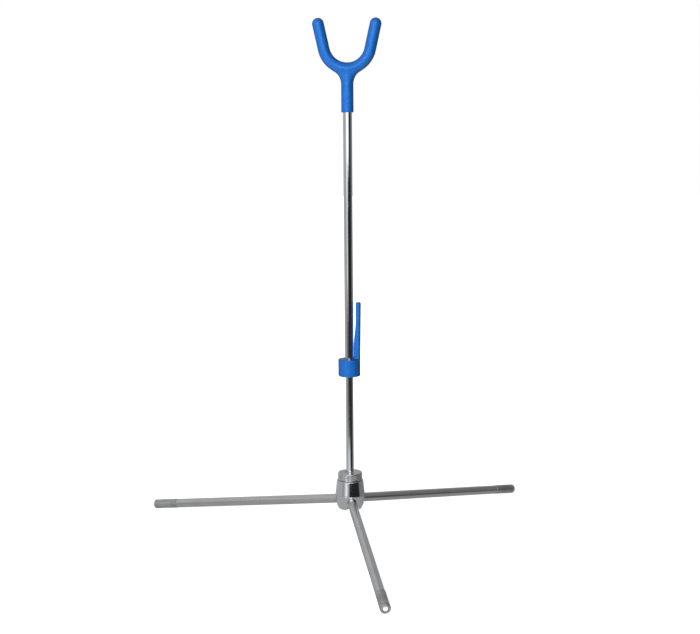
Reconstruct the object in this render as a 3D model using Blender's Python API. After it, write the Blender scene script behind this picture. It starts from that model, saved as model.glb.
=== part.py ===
"""Folding archery bow stand: a telescopic chrome pole on a three-legged hub.

A moulded fork at the top takes the bow's riser, and a hook collar where the pole
telescopes takes its string. Metres, +Z up. The stand rests on z = 0, with the middle
of its footprint at the origin and its front leg towards -Y.
"""

import math

import bmesh
import bpy
from mathutils import Matrix, Vector

# Clearance between pieces that touch, the usual broken edge, and how far cutters overrun.
GAP = 0.0003
EDGE_BREAK = 0.0006
OVERCUT = 0.005
CREASE_ANGLE = math.radians(38)

# Pole: an upper tube that slides over a lower rod, which shows between hub and collar.
ROD_OUTER = 0.0111
ROD_WALL = 0.001
ROD_SHOWING = 0.143
TUBE_WALL = 0.0005
TUBE_LENGTH = 0.4082
TRAVEL_UP = 0.1
LEAST_OVERLAP = 0.06
CAP_PLUG = 0.01
CAP_HEAD = 0.0035
CAP_CROWN = 0.0018

# Hub: a chrome bell with a tapered skirt, slotted from below for the legs. Its heights
# are from the level at which the legs' axes meet the pole's.
HUB_BOTTOM_DROP = 0.0147
HUB_SKIRT_DROP = 0.0087
HUB_CREASE_RISE = 0.0067
HUB_TOP_RISE = 0.0278
HUB_BOTTOM_RADIUS = 0.0167
HUB_SKIRT_RADIUS = 0.0196
HUB_CREASE_RADIUS = 0.0216
HUB_TOP_RADIUS = 0.0193
HUB_BOTTOM_EDGE = 0.0012
HUB_SKIRT_ROUND = 0.006

# Knurled foot of the pole, screwed into the hub.
FOOT_RADIUS = 0.0177
FOOT_HEIGHT = 0.011
FOOT_TOP_EDGE = 0.001
FOOT_MOUTH_CHAMFER = 0.0012
STUD_RADIUS = 0.005
STUD_LENGTH = 0.0155
ROD_SEAT_DEPTH = 0.009
FOOT_SPIGOT_LENGTH = 0.016
KNURL_COUNT = 32
KNURL_DEPTH = 0.0004
KNURL_EDGE = 0.0014

# Legs: three round tubes on cross pins, each with a knuckle and an end ferrule.
LEG_OUTER = 0.0133
LEG_WALL = 0.001
LEG_REACH = 0.332
LEG_AXIS_Z = 0.0511
LEG_SEGMENTS = 24
PIVOT_RADIUS = 0.0135
PIN_RADIUS = 0.002
PIN_RECESS = 0.0008
KNUCKLE_LENGTH = 0.0085
KNUCKLE_SPIGOT_LENGTH = 0.018
SLOT_EASE = 0.0002
FERRULE_STEP = 0.0002
FERRULE_LENGTH = 0.04
FERRULE_EDGE = 0.0018
FERRULE_SPIGOT_LENGTH = 0.015
FERRULE_GROOVE_SETBACK = 0.0046
FERRULE_GROOVE_WIDTH = 0.0012
FERRULE_GROOVE_DEPTH = 0.0005
BUTTON_RADIUS = 0.0038
BUTTON_LENGTH = 0.007
BUTTON_RIM_SETBACK = 0.0022
BUTTON_CROWN_SETBACK = 0.0006
BUTTON_CROWN_RADIUS = 0.0023
LEG_AZIMUTHS = {"front": -90, "right": 30, "left": 150}

# Hook collar: a ring at the tube's lower end, with one prong beside the pole.
COLLAR_WALL = 0.00935
COLLAR_HEIGHT = 0.0249
COLLAR_EDGE = 0.0013
BUSH_WALL = 0.00365
BUSH_HEIGHT = 0.0077
BUSH_SLIT = 0.0012
PRONG_LENGTH = 0.0825
PRONG_ROOT_SPACE = 0.0005
PRONG_TIP_SPACE = 0.0036
PRONG_SETBACK = 0.0002
PRONG_LEAN = 0.0016
PRONG_HALF_ANGLE = math.radians(24)
PRONG_ROOT_FILLET = 0.005
PRONG_TIP_ROUND = 0.0028
PRONG_SQUARENESS = 0.6

# Fork: a round bar bent into a U on a sleeve that closes the tube's top.
SLEEVE_WALL = 0.00205
SLEEVE_OVERLAP = 0.0402
SLEEVE_EDGE = 0.0007
FORK_BAR_RADIUS = 0.0083
FORK_INNER_RADIUS = 0.0249
FORK_CENTRE_RISE = 0.054
FORK_FLARE = math.radians(12.5)
FORK_ARM_LENGTH = 0.036
FORK_FILLET = 0.021
FORK_WEB_SHARE = 0.98

# The head faces a little to one side of the front leg.
HEAD_TURN = math.radians(-7.25)

ROD_RADIUS = ROD_OUTER / 2
ROD_BORE_RADIUS = ROD_RADIUS - ROD_WALL
TUBE_BORE_RADIUS = ROD_RADIUS + GAP
TUBE_RADIUS = TUBE_BORE_RADIUS + TUBE_WALL
LEG_RADIUS = LEG_OUTER / 2
LEG_BORE_RADIUS = LEG_RADIUS - LEG_WALL
FERRULE_RADIUS = LEG_RADIUS + FERRULE_STEP
BUSH_RADIUS = ROD_RADIUS + GAP + BUSH_WALL
COLLAR_RADIUS = TUBE_RADIUS + GAP + COLLAR_WALL
SLEEVE_RADIUS = TUBE_RADIUS + GAP + SLEEVE_WALL
PRONG_ROOT_INNER = TUBE_RADIUS + PRONG_ROOT_SPACE
PRONG_TIP_INNER = TUBE_RADIUS + PRONG_TIP_SPACE
PRONG_OUTER = COLLAR_RADIUS - PRONG_SETBACK
HUB_BOTTOM_Z = LEG_AXIS_Z - HUB_BOTTOM_DROP
HUB_SKIRT_Z = LEG_AXIS_Z - HUB_SKIRT_DROP
HUB_CREASE_Z = LEG_AXIS_Z + HUB_CREASE_RISE
HUB_TOP_Z = LEG_AXIS_Z + HUB_TOP_RISE
FOOT_BOTTOM_Z = HUB_TOP_Z + GAP
FOOT_TOP_Z = FOOT_BOTTOM_Z + FOOT_HEIGHT
COLLAR_BOTTOM_Z = FOOT_TOP_Z + ROD_SHOWING
COLLAR_TOP_Z = COLLAR_BOTTOM_Z + COLLAR_HEIGHT
TUBE_BOTTOM_Z = COLLAR_BOTTOM_Z + GAP + BUSH_HEIGHT + GAP
TUBE_TOP_Z = TUBE_BOTTOM_Z + TUBE_LENGTH
ROD_BOTTOM_Z = FOOT_TOP_Z - ROD_SEAT_DEPTH + GAP
ROD_TOP_Z = TUBE_BOTTOM_Z + TRAVEL_UP + LEAST_OVERLAP
PRONG_TOP_Z = COLLAR_TOP_Z + PRONG_LENGTH
SLEEVE_BOTTOM_Z = TUBE_TOP_Z - SLEEVE_OVERLAP
FORK_CENTRE_Z = TUBE_TOP_Z + FORK_CENTRE_RISE
FORK_BEND = FORK_INNER_RADIUS + FORK_BAR_RADIUS
# The front leg reaches forward by LEG_REACH, the other two back by half of it.
STAND_Y = (LEG_REACH / 2 - FERRULE_RADIUS * math.sin(math.radians(60))) / 2


def foot_height(slope):
    """Height of the middle of a ferrule's end face when its rounded edge rests on z = 0."""
    core = FERRULE_RADIUS - FERRULE_EDGE
    return FERRULE_EDGE + core * math.cos(slope) - FERRULE_EDGE * math.sin(slope)


def leg_slope():
    """Fall of an open leg, from the height of its axis over the hub to its foot."""
    slope = 0.0
    for _ in range(20):
        slope = math.atan((LEG_AXIS_Z - foot_height(slope)) / LEG_REACH)
    return slope


LEG_SLOPE = leg_slope()
LEG_LENGTH = (LEG_REACH - PIVOT_RADIUS) / math.cos(LEG_SLOPE)
PIVOT_Z = LEG_AXIS_Z - PIVOT_RADIUS * math.tan(LEG_SLOPE)
FERRULE_START = LEG_LENGTH - FERRULE_LENGTH


def clear_scene():
    for old in list(bpy.data.objects):
        bpy.data.objects.remove(old)


def finish(name, colour, roughness, metallic):
    """Principled material of one colour."""
    material = bpy.data.materials.new(name)
    material.use_nodes = True
    shader = material.node_tree.nodes["Principled BSDF"]
    shader.inputs["Base Color"].default_value = (*colour, 1)
    shader.inputs["Roughness"].default_value = roughness
    shader.inputs["Metallic"].default_value = metallic
    material.diffuse_color = (*colour, 1)
    return material


def empty(name, parent=None, location=(0, 0, 0), rotation=(0, 0, 0)):
    """Axis system that pieces hang from."""
    frame = bpy.data.objects.new(name, None)
    frame.empty_display_size = FERRULE_LENGTH
    frame.location = location
    frame.rotation_euler = rotation
    frame.parent = parent
    bpy.context.collection.objects.link(frame)
    return frame


def placed(name, mesh, parent, material=None, location=(0, 0, 0), rotation=(0, 0, 0)):
    """Object of this mesh under its parent; without a material it is a hidden cutter."""
    piece = bpy.data.objects.new(name, mesh)
    piece.location = location
    piece.rotation_euler = rotation
    piece.parent = parent
    bpy.context.collection.objects.link(piece)
    if material is None:
        piece.hide_render = True
        piece.display_type = "WIRE"
    elif not mesh.materials:
        mesh.materials.append(material)
    return piece


def boolean(piece, other, operation):
    """Exact Boolean of a piece with a hidden object."""
    modifier = piece.modifiers.new(f"{operation} {other.name}".lower(), "BOOLEAN")
    modifier.object = other
    modifier.operation = operation
    modifier.solver = "EXACT"


def rounded(corners, steps=2):
    """Closed outline through (a, b, radius) corners, with an arc at each that has a radius."""
    outline = []
    for index, (a, b, radius) in enumerate(corners):
        corner = Vector((a, b))
        if radius == 0:
            outline.append(corner)
            continue
        back = (Vector(corners[index - 1][:2]) - corner).normalized()
        ahead = (Vector(corners[(index + 1) % len(corners)][:2]) - corner).normalized()
        half = back.angle(ahead) / 2
        centre = corner + (back + ahead).normalized() * radius / math.sin(half)
        start = corner + back * radius / math.tan(half) - centre
        sweep = math.pi - 2 * half
        if back.x * ahead.y - back.y * ahead.x > 0:
            sweep = -sweep
        for step in range(steps + 1):
            turn = Matrix.Rotation(sweep * step / steps, 2)
            outline.append(centre + turn @ start)
    return outline


def smooth_mesh(bm, name):
    """Mesh of this bmesh with merged doubles, outward faces and smooth shading between creases."""
    bmesh.ops.remove_doubles(bm, verts=bm.verts, dist=1e-6)
    bmesh.ops.recalc_face_normals(bm, faces=bm.faces)
    mesh = bpy.data.meshes.new(name)
    bm.to_mesh(mesh)
    bm.free()
    mesh.shade_smooth()
    mesh.set_sharp_from_angle(angle=CREASE_ANGLE)
    return mesh


def turned(name, corners, segments=32, steps=2, along_x=False, knurl=None):
    """Solid turned about Z, or X, from a closed outline of (radius, height, fillet) corners.

    A knurl is (count, depth, radius, low, high): flutes cut into that radius between two heights.
    """
    bm = bmesh.new()
    verts = [bm.verts.new((p.x, 0, p.y)) for p in rounded(corners, steps)]
    edges = [
        bm.edges.new((verts[index - 1], vert))
        for index, vert in enumerate(verts)
        if verts[index - 1].co.x > 1e-7 or vert.co.x > 1e-7
    ]
    bmesh.ops.spin(
        bm, geom=verts + edges, axis=(0, 0, 1), cent=(0, 0, 0),
        angle=2 * math.pi, steps=segments, use_merge=True,
    )
    if knurl:
        cut_knurl(bm, segments, *knurl)
    if along_x:
        bm.transform(Matrix.Rotation(math.pi / 2, 4, "Y"))
    return smooth_mesh(bm, name)


def cut_knurl(bm, segments, count, depth, radius, low, high):
    """Pulls every other column of the turned surface inwards, between two heights."""
    per_flute = segments // count
    for vert in bm.verts:
        flat = Vector((vert.co.x, vert.co.y))
        if abs(flat.length - radius) > 1e-6 or not low < vert.co.z < high:
            continue
        column = round(math.atan2(flat.y, flat.x) / (2 * math.pi / segments))
        if column % per_flute == per_flute // 2:
            vert.co.xy = flat * (radius - depth) / radius


def lofted(name, rings):
    """Closed skin through rings of equally many points, with a face across each end."""
    bm = bmesh.new()
    loops = [[bm.verts.new(point) for point in ring] for ring in rings]
    for lower, upper in zip(loops, loops[1:]):
        for index in range(len(lower)):
            bm.faces.new((lower[index - 1], lower[index], upper[index], upper[index - 1]))
    bm.faces.new(loops[0])
    bm.faces.new(loops[-1])
    return smooth_mesh(bm, name)


def cylinder(name, radius, low, high, segments=32, along=None):
    """Plain cylinder along Z, or turned to another axis by a rotation matrix."""
    bm = bmesh.new()
    bmesh.ops.create_cone(
        bm, cap_ends=True, segments=segments, radius1=radius, radius2=radius,
        depth=high - low, matrix=Matrix.Translation((0, 0, (low + high) / 2)),
    )
    if along:
        bm.transform(along)
    return smooth_mesh(bm, name)


def tube_outline(outer, inner, low, high):
    return [(inner, low, 0), (outer, low, 0), (outer, high, 0), (inner, high, 0)]


def build_hub(stand, chrome):
    """Bell with its threaded socket above, and a slot and a cross hole for each leg."""
    socket = STUD_RADIUS + GAP
    socket_floor = FOOT_BOTTOM_Z - STUD_LENGTH - GAP
    outline = [
        (0, HUB_BOTTOM_Z, 0),
        (HUB_BOTTOM_RADIUS, HUB_BOTTOM_Z, HUB_BOTTOM_EDGE),
        (HUB_SKIRT_RADIUS, HUB_SKIRT_Z, HUB_SKIRT_ROUND),
        (HUB_CREASE_RADIUS, HUB_CREASE_Z, EDGE_BREAK),
        (HUB_TOP_RADIUS, HUB_TOP_Z, EDGE_BREAK),
        (socket, HUB_TOP_Z, 0),
        (socket, socket_floor, 0),
        (0, socket_floor, 0),
    ]
    hub = placed("hub_body", turned("hub_body", outline, segments=48), stand, chrome)
    radius = LEG_RADIUS + GAP
    length = HUB_CREASE_RADIUS + OVERCUT
    roof = turned(
        "slot_roof",
        [(0, -radius, 0), (radius, -radius, radius), (radius, length, 0), (0, length, 0)],
        segments=LEG_SEGMENTS, steps=4, along_x=True,
    )
    throat = slot_throat(radius + SLOT_EASE, length)
    across = Matrix.Rotation(math.pi / 2, 4, "X")
    hole = cylinder("pin_hole", PIN_RADIUS + GAP, -length, length, 16, across)
    for side, degrees in LEG_AZIMUTHS.items():
        azimuth = math.radians(degrees)
        pivot = pivot_place(azimuth)
        cutters = (
            placed(f"slot_roof_{side}", roof, stand, None, pivot, (0, LEG_SLOPE, azimuth)),
            placed(f"slot_throat_{side}", throat, stand, None, pivot, (0, 0, azimuth)),
            placed(f"pin_hole_{side}", hole, stand, None, pivot, (0, 0, azimuth)),
        )
        for cutter in cutters:
            boolean(hub, cutter, "DIFFERENCE")


def slot_throat(radius, length):
    """Vertical slot from just over the pivot down, round at its inner end and open outwards."""
    outline = [
        (-radius, -radius, radius), (length, -radius, 0), (length, radius, 0), (-radius, radius, radius),
    ]
    depth = PIVOT_Z - HUB_BOTTOM_Z + OVERCUT
    plan = rounded(outline, 5)
    return lofted("slot_throat", [[(p.x, p.y, z) for p in plan] for z in (-depth, SLOT_EASE)])


def pivot_place(azimuth):
    return (PIVOT_RADIUS * math.cos(azimuth), PIVOT_RADIUS * math.sin(azimuth), PIVOT_Z)


def build_pole_foot(stand, chrome):
    """Knurled collar with a stud below and a spigot inside the rod."""
    seat = FOOT_TOP_Z - ROD_SEAT_DEPTH
    spigot = ROD_BORE_RADIUS - GAP
    mouth = ROD_RADIUS + GAP
    low = FOOT_BOTTOM_Z + KNURL_EDGE
    high = FOOT_TOP_Z - KNURL_EDGE
    outline = [
        (0, FOOT_BOTTOM_Z - STUD_LENGTH, 0),
        (STUD_RADIUS, FOOT_BOTTOM_Z - STUD_LENGTH, EDGE_BREAK),
        (STUD_RADIUS, FOOT_BOTTOM_Z, 0),
        (FOOT_RADIUS, FOOT_BOTTOM_Z, EDGE_BREAK),
        (FOOT_RADIUS, low, 0),
        (FOOT_RADIUS, low + KNURL_DEPTH, 0),
        (FOOT_RADIUS, high - KNURL_DEPTH, 0),
        (FOOT_RADIUS, high, 0),
        (FOOT_RADIUS, FOOT_TOP_Z, FOOT_TOP_EDGE),
        (mouth + FOOT_MOUTH_CHAMFER, FOOT_TOP_Z, 0),
        (mouth, FOOT_TOP_Z - FOOT_MOUTH_CHAMFER, 0),
        (mouth, seat, 0),
        (spigot, seat, 0),
        (spigot, seat + FOOT_SPIGOT_LENGTH, EDGE_BREAK),
        (0, seat + FOOT_SPIGOT_LENGTH, 0),
    ]
    knurl = (KNURL_COUNT, KNURL_DEPTH, FOOT_RADIUS, low + KNURL_DEPTH / 2, high - KNURL_DEPTH / 2)
    mesh = turned("pole_foot", outline, segments=2 * KNURL_COUNT, steps=1, knurl=knurl)
    placed("pole_foot", mesh, stand, chrome)


def build_lower_rod(stand, chrome, nylon):
    """Rod of the telescope, with the glide cap in its top end."""
    outline = tube_outline(ROD_RADIUS, ROD_BORE_RADIUS, ROD_BOTTOM_Z, ROD_TOP_Z)
    placed("lower_rod", turned("lower_rod", outline), stand, chrome)
    spigot = ROD_BORE_RADIUS - GAP
    cap = [
        (0, ROD_TOP_Z - CAP_PLUG, 0),
        (spigot, ROD_TOP_Z - CAP_PLUG, EDGE_BREAK),
        (spigot, ROD_TOP_Z + GAP, 0),
        (ROD_RADIUS, ROD_TOP_Z + GAP, 0),
        (ROD_RADIUS, ROD_TOP_Z + CAP_HEAD, CAP_CROWN),
        (0, ROD_TOP_Z + CAP_HEAD, 0),
    ]
    placed("rod_glide_cap", turned("rod_glide_cap", cap, segments=24), stand, nylon)


def build_legs(stand, steel, dark_steel, chrome):
    """Three legs of four pieces on pivot frames, and the pins that hold them in the hub."""
    knuckle = turned("leg_knuckle", knuckle_outline(), LEG_SEGMENTS, steps=4, along_x=True)
    tube = turned(
        "leg_tube",
        tube_outline(LEG_RADIUS, LEG_BORE_RADIUS, KNUCKLE_LENGTH + GAP, FERRULE_START - GAP),
        LEG_SEGMENTS, along_x=True,
    )
    ferrule = turned("leg_ferrule", ferrule_outline(), LEG_SEGMENTS, along_x=True)
    button = turned("leg_button", button_outline(), LEG_SEGMENTS, steps=1, along_x=True)
    across = Matrix.Rotation(math.pi / 2, 4, "X")
    bore = cylinder("knuckle_bore", PIN_RADIUS + GAP, -LEG_OUTER, LEG_OUTER, 16, across)
    half = math.sqrt(HUB_CREASE_RADIUS**2 - PIVOT_RADIUS**2) - PIN_RECESS
    pin_outline = [
        (0, -half, 0), (PIN_RADIUS, -half, EDGE_BREAK), (PIN_RADIUS, half, EDGE_BREAK), (0, half, 0),
    ]
    pin = turned("leg_pin", pin_outline, segments=16, steps=1)
    for side, degrees in LEG_AZIMUTHS.items():
        azimuth = math.radians(degrees)
        pivot = pivot_place(azimuth)
        frame = empty(f"leg_pivot_{side}", stand, pivot, (0, LEG_SLOPE, azimuth))
        end = placed(f"leg_knuckle_{side}", knuckle, frame, steel)
        boolean(end, placed(f"knuckle_bore_{side}", bore, frame), "DIFFERENCE")
        placed(f"leg_tube_{side}", tube, frame, steel)
        placed(f"leg_ferrule_{side}", ferrule, frame, dark_steel)
        placed(f"leg_button_{side}", button, frame, chrome)
        placed(f"leg_pin_{side}", pin, stand, chrome, pivot, (math.pi / 2, 0, azimuth))


def knuckle_outline():
    """Ball-ended knuckle, with a spigot pressed into the leg tube."""
    spigot = LEG_BORE_RADIUS - GAP
    tip = KNUCKLE_LENGTH + KNUCKLE_SPIGOT_LENGTH
    return [
        (0, -LEG_RADIUS, 0),
        (LEG_RADIUS, -LEG_RADIUS, LEG_RADIUS),
        (LEG_RADIUS, KNUCKLE_LENGTH, 0),
        (spigot, KNUCKLE_LENGTH, 0),
        (spigot, tip, EDGE_BREAK),
        (0, tip, 0),
    ]


def ferrule_outline():
    """Turned end piece with a rounded rim, a groove behind it and a blind hole in its face."""
    spigot = LEG_BORE_RADIUS - GAP
    hole = BUTTON_RADIUS + GAP
    front = LEG_LENGTH - FERRULE_GROOVE_SETBACK
    back = front - FERRULE_GROOVE_WIDTH
    floor = FERRULE_RADIUS - FERRULE_GROOVE_DEPTH
    return [
        (0, FERRULE_START - FERRULE_SPIGOT_LENGTH, 0),
        (spigot, FERRULE_START - FERRULE_SPIGOT_LENGTH, EDGE_BREAK),
        (spigot, FERRULE_START, 0),
        (FERRULE_RADIUS, FERRULE_START, EDGE_BREAK),
        (FERRULE_RADIUS, back, 0),
        (floor, back, 0),
        (floor, front, 0),
        (FERRULE_RADIUS, front, 0),
        (FERRULE_RADIUS, LEG_LENGTH, FERRULE_EDGE),
        (hole, LEG_LENGTH, 0),
        (hole, LEG_LENGTH - BUTTON_LENGTH, 0),
        (0, LEG_LENGTH - BUTTON_LENGTH, 0),
    ]


def button_outline():
    """Polished plug in the ferrule's end, with a domed face just inside its rim."""
    return [
        (0, LEG_LENGTH - BUTTON_LENGTH + GAP, 0),
        (BUTTON_RADIUS, LEG_LENGTH - BUTTON_LENGTH + GAP, 0),
        (BUTTON_RADIUS, LEG_LENGTH - BUTTON_RIM_SETBACK, GAP),
        (BUTTON_CROWN_RADIUS, LEG_LENGTH - BUTTON_CROWN_SETBACK, BUTTON_CROWN_RADIUS),
        (0, LEG_LENGTH - BUTTON_CROWN_SETBACK, 0),
    ]


def build_hook_collar(head, blue):
    """Ring that holds the tube's end and the grip bush, with the string prong on one side."""
    tube_bore = TUBE_RADIUS + GAP
    bush_bore = BUSH_RADIUS + GAP
    shelf = TUBE_BOTTOM_Z - GAP
    outline = [
        (bush_bore, COLLAR_BOTTOM_Z, 0),
        (COLLAR_RADIUS, COLLAR_BOTTOM_Z, COLLAR_EDGE),
        (COLLAR_RADIUS, COLLAR_TOP_Z, COLLAR_EDGE),
        (tube_bore, COLLAR_TOP_Z, EDGE_BREAK),
        (tube_bore, shelf, 0),
        (bush_bore, shelf, 0),
    ]
    collar = placed("hook_collar", turned("hook_collar", outline, segments=36), head, blue)
    boolean(collar, placed("hook_prong", string_prong(), head), "UNION")


def build_grip_bush(stand, nylon):
    """Split bush in the collar's mouth that grips the rod."""
    outline = tube_outline(
        BUSH_RADIUS, ROD_RADIUS + GAP, COLLAR_BOTTOM_Z + GAP, COLLAR_BOTTOM_Z + BUSH_HEIGHT
    )
    bush = placed("grip_bush", turned("grip_bush", outline), stand, nylon)
    half = BUSH_SLIT / 2
    plan = ((0, -half), (COLLAR_RADIUS, -half), (COLLAR_RADIUS, half), (0, half))
    ends = (COLLAR_BOTTOM_Z - OVERCUT, COLLAR_TOP_Z)
    slit = lofted("bush_slit", [[(x, y, z) for x, y in plan] for z in ends])
    boolean(bush, placed("bush_slit", slit, stand), "DIFFERENCE")


def string_prong():
    """Upright prong: a rounded sector of a ring about the pole, flared at its root.

    The gap to the pole widens upwards, and the top closes in a quarter round.
    """
    shoulder = PRONG_TOP_Z - PRONG_TIP_ROUND
    heights = [COLLAR_TOP_Z - COLLAR_HEIGHT / 2, COLLAR_TOP_Z - COLLAR_EDGE]
    heights += [COLLAR_TOP_Z + PRONG_ROOT_FILLET * (step / 4) ** 2 for step in range(5)]
    heights += [(COLLAR_TOP_Z + PRONG_TOP_Z) / 2, shoulder]
    rings = [prong_ring(height, 1) for height in heights]
    for step in range(1, 5):
        angle = math.pi / 2 * step / 5
        height = shoulder + PRONG_TIP_ROUND * math.sin(angle)
        rings.append(prong_ring(height, math.cos(angle)))
    return lofted("hook_prong", rings)


def prong_ring(height, tip_size, points=20):
    """Section at a height: a superellipse in radius and angle about the pole."""
    rise = max(0, (height - COLLAR_TOP_Z) / (PRONG_TOP_Z - COLLAR_TOP_Z))
    flare = max(0, 1 - max(0, height - COLLAR_TOP_Z) / PRONG_ROOT_FILLET) ** 2
    inner = PRONG_ROOT_INNER + (PRONG_TIP_INNER - PRONG_ROOT_INNER) * rise
    outer = PRONG_OUTER + PRONG_LEAN * rise
    half_angle = PRONG_HALF_ANGLE * (1 + flare / 2)
    middle = (inner + outer) / 2
    tip_inset = PRONG_TIP_ROUND * (1 - tip_size)
    half_width = (outer - inner) / 2
    half_width -= min(tip_inset, 0.8 * half_width)
    half_angle -= tip_inset / middle
    ring = []
    for index in range(points):
        turn = 2 * math.pi * index / points
        radius = middle + half_width * squared(math.cos(turn))
        angle = half_angle * squared(math.sin(turn))
        ring.append((radius * math.cos(angle), radius * math.sin(angle), height))
    return ring


def squared(value):
    """Pushes a sine or cosine out towards a rounded square."""
    return math.copysign(abs(value) ** PRONG_SQUARENESS, value)


def build_fork(head, blue):
    """U of round bar on its stem, joined, with the tube's socket bored from below."""
    fork = placed("fork", fork_stem(), head, blue)
    boolean(fork, placed("fork_bar", fork_bar(), head), "UNION")
    socket = cylinder("fork_socket", TUBE_RADIUS + GAP, SLEEVE_BOTTOM_Z - OVERCUT, TUBE_TOP_Z + GAP)
    boolean(fork, placed("fork_socket", socket, head), "DIFFERENCE")


def fork_bar():
    """Round bar along a straight arm, an arc and a straight arm, with ball ends."""
    ball_rings = 4
    arc_steps = 14
    ends = []
    for step in range(ball_rings):
        angle = math.pi / 2 * (1 - (step + 0.3) / ball_rings)
        ends.append((-FORK_ARM_LENGTH - FORK_BAR_RADIUS * math.sin(angle), math.cos(angle)))
    ends.append((-FORK_ARM_LENGTH, 1))
    arc = (math.pi - 2 * FORK_FLARE) * FORK_BEND
    stations = ends + [(arc * step / arc_steps, 1) for step in range(arc_steps + 1)]
    stations += [(arc - along, size) for along, size in reversed(ends)]
    return lofted("fork_bar", [bar_ring(along, size, arc) for along, size in stations])


def bar_ring(along, size, arc, points=24):
    """Ring across the bar at a distance along its arc, with straight runs past both ends."""
    on_arc = min(max(along, 0), arc)
    direction = -math.pi + FORK_FLARE + on_arc / FORK_BEND
    outward = Vector((math.cos(direction), 0, math.sin(direction)))
    onward = Vector((-math.sin(direction), 0, math.cos(direction)))
    middle = Vector((0, 0, FORK_CENTRE_Z)) + outward * FORK_BEND + onward * (along - on_arc)
    side = Vector((0, 1, 0))
    radius = FORK_BAR_RADIUS * size
    ring = []
    for index in range(points):
        angle = 2 * math.pi * index / points
        ring.append(middle + (outward * math.cos(angle) + side * math.sin(angle)) * radius)
    return ring


def fork_stem():
    """Round sleeve that flares sideways, in a fillet tangent to the sleeve and to the U."""
    edge_steps = 3
    flare_steps = 8
    fillet_x = SLEEVE_RADIUS + FORK_FILLET
    fillet_z = FORK_CENTRE_Z - math.sqrt((FORK_BEND + FORK_BAR_RADIUS + FORK_FILLET) ** 2 - fillet_x**2)
    reach = math.atan2(FORK_CENTRE_Z - fillet_z, fillet_x)
    top = FORK_CENTRE_Z - FORK_BEND
    web = FORK_WEB_SHARE * FORK_BAR_RADIUS
    sections = []
    for step in range(edge_steps + 1):
        angle = math.pi / 2 * step / edge_steps
        size = SLEEVE_RADIUS - SLEEVE_EDGE * (1 - math.sin(angle))
        sections.append((SLEEVE_BOTTOM_Z + SLEEVE_EDGE * (1 - math.cos(angle)), size, size))
    for step in range(flare_steps + 1):
        angle = reach * step / flare_steps
        height = fillet_z + FORK_FILLET * math.sin(angle)
        share = (height - fillet_z) / (top - fillet_z)
        depth = SLEEVE_RADIUS + (web - SLEEVE_RADIUS) * share
        sections.append((height, fillet_x - FORK_FILLET * math.cos(angle), depth))
    sections.append((top, sections[-1][1], web))
    angles = [2 * math.pi * index / 32 for index in range(32)]
    rings = []
    for height, width, depth in sections:
        rings.append([(width * math.cos(a), depth * math.sin(a), height) for a in angles])
    return lofted("fork", rings)


def build_upper_tube(head, chrome):
    outline = tube_outline(TUBE_RADIUS, TUBE_BORE_RADIUS, TUBE_BOTTOM_Z, TUBE_TOP_Z)
    placed("upper_tube", turned("upper_tube", outline), head, chrome)


def main():
    clear_scene()
    chrome = finish("bright chrome", (0.78, 0.79, 0.81), 0.08, 1)
    steel = finish("satin plated steel", (0.55, 0.56, 0.56), 0.3, 1)
    dark_steel = finish("dull plated steel", (0.42, 0.43, 0.43), 0.45, 1)
    blue = finish("blue moulded plastic", (0.02, 0.17, 0.62), 0.3, 0)
    nylon = finish("natural nylon", (0.8, 0.79, 0.74), 0.45, 0)
    stand = empty("stand_axis", location=(0, STAND_Y, 0))
    head = empty("head_axis", stand, rotation=(0, 0, HEAD_TURN))
    build_hub(stand, chrome)
    build_pole_foot(stand, chrome)
    build_lower_rod(stand, chrome, nylon)
    build_legs(stand, steel, dark_steel, chrome)
    build_upper_tube(head, chrome)
    build_hook_collar(head, blue)
    build_grip_bush(stand, nylon)
    build_fork(head, blue)


if __name__ == "__main__":
    main()
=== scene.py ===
"""Looks of a folding archery bow stand, laid out as a Blender add-on.

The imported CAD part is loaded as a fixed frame. Each piece is then made again as a smooth
surface on the same sizes, gets its finish, and rides on its CAD body. Metres, +Z up.
"""

import math

import bpy
import numpy as np
from bpy.props import FloatProperty, FloatVectorProperty, IntProperty, PointerProperty
from bpy.types import NodeSocket, Operator, Panel, PropertyGroup
from mathutils import Matrix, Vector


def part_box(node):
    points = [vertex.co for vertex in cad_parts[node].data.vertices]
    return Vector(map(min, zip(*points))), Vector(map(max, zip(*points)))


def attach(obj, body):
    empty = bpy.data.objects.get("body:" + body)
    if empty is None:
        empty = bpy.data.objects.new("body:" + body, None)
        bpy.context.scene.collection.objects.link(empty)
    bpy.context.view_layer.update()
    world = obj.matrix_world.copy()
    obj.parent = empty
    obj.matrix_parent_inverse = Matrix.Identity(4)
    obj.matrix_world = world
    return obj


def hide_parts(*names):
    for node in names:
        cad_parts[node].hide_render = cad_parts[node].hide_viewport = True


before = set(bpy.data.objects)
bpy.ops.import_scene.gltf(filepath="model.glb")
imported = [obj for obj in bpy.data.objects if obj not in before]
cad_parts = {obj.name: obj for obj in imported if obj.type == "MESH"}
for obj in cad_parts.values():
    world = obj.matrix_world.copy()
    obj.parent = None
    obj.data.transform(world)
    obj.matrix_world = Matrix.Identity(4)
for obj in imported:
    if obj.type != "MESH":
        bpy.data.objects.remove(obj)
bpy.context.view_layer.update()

bl_info = {
    "name": "Archery Bow Stand",
    "version": (1, 0, 0),
    "blender": (4, 5, 0),
    "location": "View3D > Sidebar > Bow Stand",
    "description": "Makes a folding archery bow stand with its finishes and its studio",
    "category": "Add Mesh",
}

# Azimuth of each leg, in degrees.
SIDES = {"front": -90.0, "right": 30.0, "left": 150.0}
# Clearance between pieces in the CAD, and the finer one drawn where hub and legs meet.
GAP = 0.0003
FINE_GAP = 0.00015
# Lengths under this count as none.
TINY = 1e-7


def low(node, axis=2):
    """Lowest coordinate of a CAD node along an axis."""
    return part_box(node)[0][axis]


def high(node, axis=2):
    """Highest coordinate of a CAD node along an axis."""
    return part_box(node)[1][axis]


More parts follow.
